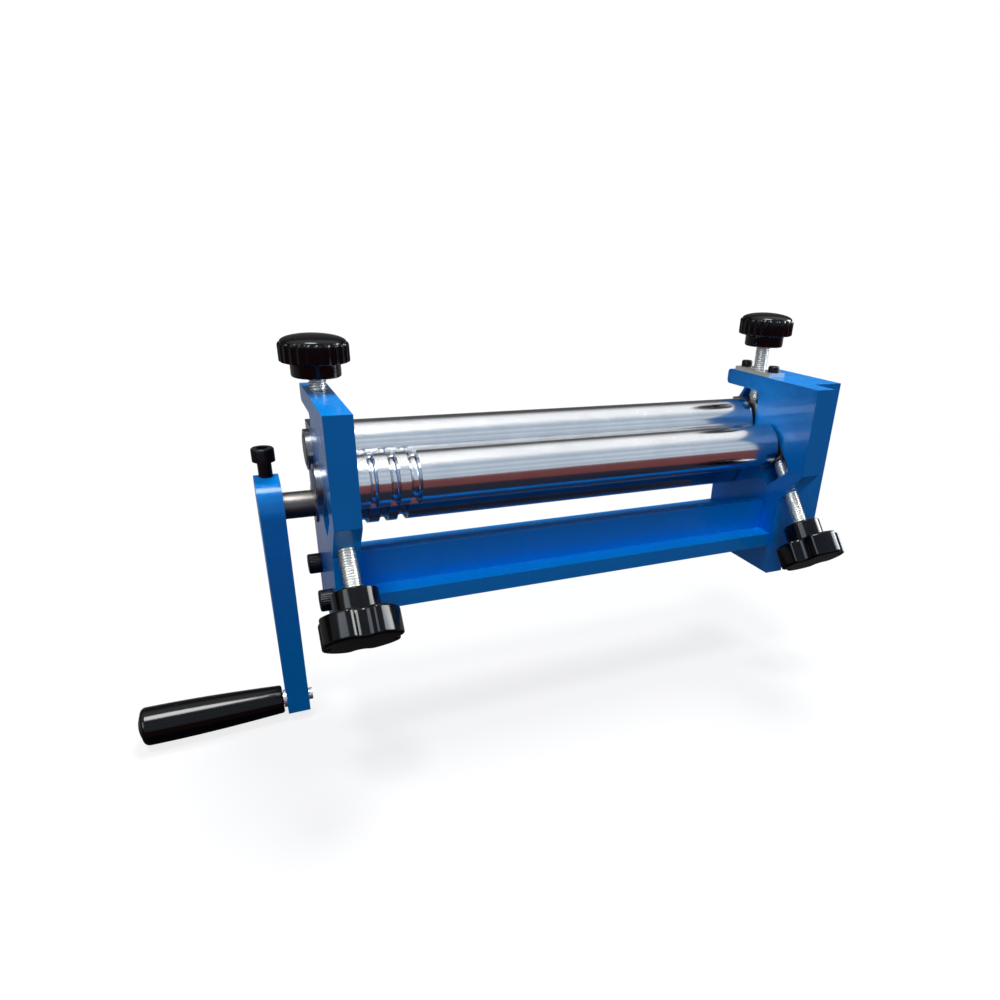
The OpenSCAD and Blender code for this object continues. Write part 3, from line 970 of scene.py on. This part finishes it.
@dataclass
class Machine:
    """Whole machine: which finish each solid takes and where the modelled pieces go."""

    finishes: Finishes
    bend_angle: float = 50.0
    # Y and Z of the bending roller, and how far out its screws and their knobs start
    bend_axis_mm: tuple[float, float] = (-17.5, 96.0)
    bend_screw_out_mm: float = 14.0
    bend_knob_out_mm: float = 64.4
    bend_knob_spin: dict[str, float] = field(default_factory=lambda: {"left": 45.0, "right": 8.0})
    face_mm: tuple[float, float] = (9.5, 309.5)
    # Y and Z of the frame screws, front and rear, and X of their seats, left and right
    base_screws_mm: tuple[tuple[float, float], ...] = ((-23.98, 26.9), (28.0, 29.1))
    base_seats_mm: tuple[float, float] = (-7.5, 318.3)
    clamp_mm: tuple[float, float] = (-33.5, 23.0)
    nut_plate_mm: tuple[float, float] = (319.0, 11.0)
    nut_screw_off_mm: float = 15.5
    pieces: list[bpy.types.Object] = field(default_factory=list)

    def outward(self) -> Vector:
        """Direction in which the bending adjusters point."""
        a = math.radians(self.bend_angle)
        return Vector((0.0, -math.cos(a), -math.sin(a)))

    def dress_solids(self) -> None:
        """Give every CAD solid the finish of its record slot."""
        for row in frame["record"]["subparts"]:
            self.finishes.dress(frame["nodes"][row["node"]], Slot(row["material_slot"]))
        for node in ("drive_roll", "top_roll", "bend_roll"):
            self.shaft_ends(frame["nodes"][node])

    def shaft_ends(self, roll: bpy.types.Object) -> None:
        """Give the journals of a roller the darker turned finish.

        Args:
            roll: the roller's solid, dressed in its own finish.
        """
        roll.data.materials.append(self.finishes.by_slot[Slot.SHAFT])
        low, high = (self.face_mm[0] + 0.2) * MM, (self.face_mm[1] - 0.2) * MM
        for face in roll.data.polygons:
            face.material_index = int(not low < face.center.x < high)

    def adjusters(self) -> None:
        """Model the four threaded screws and the four knobs."""
        along = self.outward()
        for side in ("left", "right"):
            low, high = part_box(f"top_screw_{side}")
            body = f"top_adjuster_{side}"
            start, length = foot_of(f"top_screw_{side}"), (high.z - low.z) / MM
            screw = ThreadedScrew(f"top_screw_{side}", body, start, UP, length)
            self.pieces.append(screw.build(self.finishes))
            knob = FlutedKnob(f"top_knob_{side}", body, foot_of(f"top_knob_{side}"))
            self.pieces.append(knob.build(self.finishes))
            mid = centre_of(f"bend_screw_{side}")
            roll = Vector((mid.x, self.bend_axis_mm[0] * MM, self.bend_axis_mm[1] * MM))
            half = (mid - roll).dot(along) / MM - self.bend_screw_out_mm
            start = roll + along * self.bend_screw_out_mm * MM
            body = f"bend_adjuster_{side}"
            screw = ThreadedScrew(f"bend_screw_{side}", body, start, along, 2 * half)
            self.pieces.append(screw.build(self.finishes))
            foot = roll + along * self.bend_knob_out_mm * MM
            lobed = LobedKnob(f"bend_knob_{side}", body, foot, along, self.bend_knob_spin[side])
            self.pieces.append(lobed.build(self.finishes))

    def fasteners(self) -> None:
        """Model the cap screws."""
        left, right = Vector((-1, 0, 0)), Vector((1, 0, 0))
        front, rear = self.base_screws_mm
        m8 = CapScrew(6.5, 8.0, 4.0, 30.0, 6.0)
        base = [
            (Vector((self.base_seats_mm[0], *front)), left, 12.0),
            (Vector((self.base_seats_mm[0], *rear)), left, 40.0),
            (Vector((self.base_seats_mm[1], *front)), right, 5.0),
            (Vector((self.base_seats_mm[1], *rear)), right, 25.0),
        ]
        self.pieces.append(ScrewSet("base_screws", "frame", m8, base).build(self.finishes))
        low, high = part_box("crank_clamp_screw")
        clamp = replace(m8, length_mm=(high.z - low.z) / MM - m8.head_h_mm)
        spot = [(Vector((*self.clamp_mm, high.z / MM - clamp.head_h_mm)), UP, 15.0)]
        self.pieces.append(ScrewSet("crank_clamp_screw", "crank", clamp, spot).build(self.finishes))
        low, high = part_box("nut_plate_screws")
        head = 4.5
        small = CapScrew(4.0, head, 2.0, (high.z - low.z) / MM - head, 2.4, 20)
        x, y = self.nut_plate_mm
        spots = [
            (Vector((x, y + side * self.nut_screw_off_mm, high.z / MM - head)), UP, 8.0 * side)
            for side in (-1, 1)
        ]
        self.pieces.append(ScrewSet("nut_plate_screws", "frame", small, spots).build(self.finishes))

    def eased(self) -> None:
        """Break the edges of the painted, plated and milled solids."""
        paint = {
            "left_plate": 0.6,
            "right_plate": 0.6,
            "base_angle": 0.6,
            "rear_tie_bar": 0.6,
            "gear_housing": 0.8,
            "crank_arm": 0.8,
        }
        self.pieces += SoftEdges(paint, Slot.ENAMEL).build(self.finishes)
        self.pieces += SoftEdges({"nut_plate": 0.4}, Slot.ZINC).build(self.finishes)
        blocks = {f"{kind}_block_{side}": 0.3 for kind in ("top", "bend") for side in ("left", "right")}
        self.pieces += SoftEdges(blocks, Slot.BLOCK).build(self.finishes)

    def build(self) -> None:
        """Dress the solids and model every new piece in order."""
        self.dress_solids()
        self.adjusters()
        self.fasteners()
        self.pieces.append(Grip().build(self.finishes))
        self.eased()
        for piece in self.pieces:
            log.info("%s: %d faces", piece.name, len(piece.data.polygons))


@dataclass
class Studio:
    """Pale floor, soft light and the camera of the photograph."""

    floor_mm: float = -79.0
    floor_size_m: float = 12.0
    floor_lift: float = 0.8
    # share of the painted table and of the painted shadow under it that gloss and bounced light see glowing
    # in the floor
    gloss_share: float = 0.9
    bounce_share: float = 0.7
    eye_mm: tuple[float, float, float] = (-47.64, -418.36, 220.84)
    yaw: float = 26.517
    pitch: float = 24.309
    roll: float = -2.601
    focal_px: float = 700.13
    centre_px: tuple[float, float] = (570.22, 569.38)
    image_px: float = 1000.0
    sensor_mm: float = 36.0
    fill: float = 0.26
    side_light: float = 0.4
    room_light: float = 1.35
    # surfaces of the painted room that gloss shows, one plain colour each
    window: str = WHITE
    lit_wall: str = "#D0D8E0"
    shaded_wall: str = "#A0B0C0"
    back_wall: str = "#505050"
    back_skirting: str = "#909090"
    # painted reflection that the floor shows to gloss and bounced light: a table and paper, each with a
    # painted shadow under it
    painted_table: str = "#804040"
    painted_table_shadow: str = "#101830"
    paper: str = "#A0A0A0"
    painted_paper_shadow: str = "#202020"
    wall_strips: int = 7
    wall_top: float = 0.9
    # where gloss passes from the painted table to its painted shadow, and from the painted paper to its own
    # painted shadow, by the sine of the depth
    table_edge: tuple[float, float] = (0.55, 0.62)
    paper_edge: tuple[float, float] = (0.35, 0.5)
    sky_fill: str = "#D4E0FF"
    # lamps seen in gloss only: direction, cosine of the edge, brightness
    gloss_lamps: tuple[tuple[tuple[float, float, float], float, float], ...] = (
        ((0.94, -0.12, 0.3), 0.955, 20.0),
        ((-0.75, -0.45, 0.48), 0.955, 10.0),
        ((-0.11, -0.19, 0.975), 0.97, 34.0),
    )
    gloss_lamp_blur: float = 0.016
    # far lamps: name, direction, angle in degrees, strength
    suns: tuple[tuple[str, tuple[float, float, float], float, float], ...] = (
        ("window", (0.3, 0.2, 1.0), 20.0, 2.4),
        ("front_fill", (-0.3, -1.0, 0.9), 30.0, 0.2),
        ("strip", (-0.12, -0.19, 0.975), 11.0, 1.0),
    )

    def front_bands(self) -> Bands:
        """Wall in front, in even lit and shaded strips, below a window overhead.

        Returns:
            Colours by the sine of the height above the horizon.
        """
        strips = tuple(
            (i * self.wall_top / (self.wall_strips - 1), self.shaded_wall if i % 2 else self.lit_wall)
            for i in range(self.wall_strips)
        )
        return strips + ((0.97, self.window), (1.0, self.window))

    def back_bands(self) -> Bands:
        """Dark wall behind, with a pale skirting and the same window.

        Returns:
            Colours by the sine of the height above the horizon.
        """
        return (
            (0.0, self.back_skirting),
            (0.15, self.back_wall),
            (0.7, self.back_wall),
            (0.95, self.window),
            (1.0, self.window),
        )

    @staticmethod
    def step(near: str, far: str, edge: tuple[float, float]) -> Bands:
        """Two colours with one soft step between them.

        Args:
            near: colour up to the step.
            far: colour beyond it.
            edge: where the step starts and ends.

        Returns:
            Colours by the sine of the depth below the horizon.
        """
        return ((0.0, near), (edge[0], near), (edge[1], far), (1.0, far))

    def backdrop(self) -> None:
        """Lay a large pale floor that shows white and keeps soft shadows, and glows for gloss and bounced
        light with a painted reflection of a table and paper and their painted shadows.
        """
        bpy.ops.object.select_all(action="DESELECT")
        bpy.ops.mesh.primitive_plane_add(
            size=self.floor_size_m, location=(0.16, 0.0, self.floor_mm * MM)
        )
        floor = bpy.context.object
        floor.name = "studio_floor"
        place(floor, Matrix.Identity(4))
        mat, tree, out = new_material("matt_white_paper")
        where = add_node(tree, "ShaderNodeTexCoord")
        grain = add_node(tree, "ShaderNodeTexNoise", {"Scale": 400.0}, {"Vector": where.outputs["Object"]})
        tint = blend(tree, "#828282", "#868686", grain.outputs["Fac"])
        paper = add_node(tree, "ShaderNodeBsdfDiffuse", {"Roughness": 1.0}, {"Color": tint})
        # seen directly the paper is lifted to white and keeps the shadow; gloss and bounced light see the
        # floor glow with a painted reflection of a table and paper and their painted shadows
        path = add_node(tree, "ShaderNodeLightPath")
        lift = add_node(
            tree,
            "ShaderNodeMath",
            {"operation": "MULTIPLY", 1: self.floor_lift},
            {0: seen_directly(tree, path)},
        )
        glow = add_node(tree, "ShaderNodeEmission", {"Color": linear(WHITE)}, {"Strength": lift.outputs[0]})
        both = add_node(tree, "ShaderNodeAddShader", {}, {0: paper.outputs[0], 1: glow.outputs[0]})
        sight = add_node(tree, "ShaderNodeNewGeometry")
        depth = add_node(tree, "ShaderNodeSeparateXYZ", {}, {0: sight.outputs["Incoming"]})
        painted_table = ramp(tree, self.step(self.painted_table, self.painted_table_shadow, self.table_edge), depth.outputs["Z"])
        behind = ramp(tree, self.step(self.paper, self.painted_paper_shadow, self.paper_edge), depth.outputs["Z"])
        ahead = add_node(
            tree, "ShaderNodeMapRange", {"From Min": -0.2, "From Max": 0.2}, {"Value": depth.outputs["Y"]}
        )
        tone = add_node(
            tree, "ShaderNodeMix", {"data_type": "RGBA"}, {0: ahead.outputs["Result"], 6: behind, 7: painted_table}
        )
        # glow of the painted reflection and painted shadow that gloss and bounced light see in the floor
        painted_reflection_glow = add_node(tree, "ShaderNodeEmission", {"Strength": 1.0}, {"Color": tone.outputs[2]})
        bounce = add_node(
            tree,
            "ShaderNodeMath",
            {"operation": "MULTIPLY", 1: self.bounce_share},
            {0: path.outputs["Is Diffuse Ray"]},
        )
        share = add_node(
            tree,
            "ShaderNodeMath",
            {"operation": "MULTIPLY_ADD", 1: self.gloss_share},
            {0: path.outputs["Is Glossy Ray"], 2: bounce.outputs[0]},
        )
        shown = add_node(
            tree, "ShaderNodeMixShader", {}, {0: share.outputs[0], 1: both.outputs[0], 2: painted_reflection_glow.outputs[0]}
        )
        tree.links.new(shown.outputs[0], out.inputs["Surface"])
        floor.data.materials.append(mat)

    def room(self, tree: Tree) -> Node:
        """Paint the room that gloss shows, in bands along the rollers that darken towards the sides.

        Args:
            tree: node tree of the world.

        Returns:
            The background node of the room.
        """
        where = add_node(tree, "ShaderNodeTexCoord").outputs["Generated"]
        flat = add_node(
            tree, "ShaderNodeVectorMath", {"operation": "MULTIPLY", 1: (0.0, 1.0, 1.0)}, {0: where}
        )
        around = add_node(tree, "ShaderNodeVectorMath", {"operation": "NORMALIZE"}, {0: flat.outputs[0]})
        part = add_node(tree, "ShaderNodeSeparateXYZ", {}, {0: around.outputs[0]})
        front = ramp(tree, self.front_bands(), part.outputs["Z"])
        back = ramp(tree, self.back_bands(), part.outputs["Z"])
        side = add_node(
            tree, "ShaderNodeMapRange", {"From Min": -0.12, "From Max": 0.12}, {"Value": part.outputs["Y"]}
        )
        both = add_node(
            tree, "ShaderNodeMix", {"data_type": "RGBA"}, {0: side.outputs["Result"], 6: front, 7: back}
        )
        across = add_node(tree, "ShaderNodeSeparateXYZ", {}, {0: where})
        aside = add_node(tree, "ShaderNodeMath", {"operation": "ABSOLUTE"}, {0: across.outputs["X"]})
        dimmed = {"To Min": self.room_light, "To Max": self.room_light * self.side_light}
        light = add_node(
            tree,
            "ShaderNodeMapRange",
            {"From Min": 0.6, "From Max": 0.95, **dimmed},
            {"Value": aside.outputs[0]},
        ).outputs["Result"]
        for towards, edge, brightness in self.gloss_lamps:
            near = add_node(
                tree,
                "ShaderNodeVectorMath",
                {"operation": "DOT_PRODUCT", 1: Vector(towards).normalized()},
                {0: where},
            )
            lamp = add_node(
                tree,
                "ShaderNodeMapRange",
                {"From Min": edge, "From Max": edge + self.gloss_lamp_blur, "To Max": brightness},
                {"Value": near.outputs["Value"]},
            )
            links = {0: light, 1: lamp.outputs["Result"]}
            light = add_node(tree, "ShaderNodeMath", {"operation": "ADD"}, links).outputs[0]
        return add_node(tree, "ShaderNodeBackground", {}, {"Color": both.outputs[2], "Strength": light})

    def world(self) -> None:
        """Light evenly, with a white sky for the camera and a painted room for reflections."""
        world = bpy.data.worlds.new("studio_room")
        world.use_nodes = True
        tree = world.node_tree
        tree.nodes.clear()
        path = add_node(tree, "ShaderNodeLightPath")
        even = add_node(
            tree, "ShaderNodeBackground", {"Color": linear(self.sky_fill), "Strength": self.fill}
        )
        sky = add_node(tree, "ShaderNodeBackground", {"Color": linear(WHITE), "Strength": 1.0})
        inside = add_node(
            tree,
            "ShaderNodeMixShader",
            {},
            {0: path.outputs["Is Glossy Ray"], 1: even.outputs[0], 2: self.room(tree).outputs[0]},
        )
        mixed = add_node(
            tree,
            "ShaderNodeMixShader",
            {},
            {0: seen_directly(tree, path), 1: inside.outputs[0], 2: sky.outputs[0]},
        )
        out = add_node(tree, "ShaderNodeOutputWorld")
        tree.links.new(mixed.outputs[0], out.inputs["Surface"])
        bpy.context.scene.world = world

    def sun(self, name: str, towards: tuple[float, float, float], spread: float, strength: float) -> None:
        """Add one far lamp, so that the whole floor is lit alike; gloss shows the painted room instead.

        Args:
            name: name of the lamp.
            towards: direction from the machine to the lamp.
            spread: angle of the lamp in degrees, which softens its shadow.
            strength: its strength.
        """
        data = bpy.data.lights.new(name, "SUN")
        data.angle = math.radians(spread)
        data.energy = strength
        lamp = bpy.data.objects.new(name, data)
        bpy.context.scene.collection.objects.link(lamp)
        lamp.matrix_world = axis_matrix(Vector(towards), Vector(towards))
        lamp.visible_glossy = False

    def camera(self) -> None:
        """Set up the camera that was fitted to the photograph."""
        yaw, pitch, roll = (math.radians(a) for a in (self.yaw, self.pitch, self.roll))
        look = Vector((math.sin(yaw) * math.cos(pitch), math.cos(yaw) * math.cos(pitch), -math.sin(pitch)))
        right = Vector((math.cos(yaw), -math.sin(yaw), 0.0))
        down = look.cross(right)
        across = right * math.cos(roll) + down * math.sin(roll)
        below = down * math.cos(roll) - right * math.sin(roll)
        data = bpy.data.cameras.new("view")
        data.sensor_width = self.sensor_mm
        data.lens = self.focal_px * self.sensor_mm / self.image_px
        data.shift_x = (self.image_px / 2 - self.centre_px[0]) / self.image_px
        data.shift_y = (self.centre_px[1] - self.image_px / 2) / self.image_px
        data.clip_start = 0.01
        eye = bpy.data.objects.new("view", data)
        bpy.context.scene.collection.objects.link(eye)
        turn = Matrix((across, -below, -look)).transposed().to_4x4()
        eye.matrix_world = Matrix.Translation(Vector(self.eye_mm) * MM) @ turn
        bpy.context.scene.camera = eye

    def build(self) -> None:
        """Set up floor, room, lamps, camera and view."""
        self.backdrop()
        self.world()
        for sun in self.suns:
            self.sun(*sun)
        self.camera()
        bpy.context.scene.view_settings.view_transform = "Standard"


def main() -> None:
    """Build the machine and the studio."""
    logging.basicConfig(level=logging.INFO, format="%(message)s")
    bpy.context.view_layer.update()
    Machine(Finishes()).build()
    Studio().build()


if __name__ == "__main__":
    main()
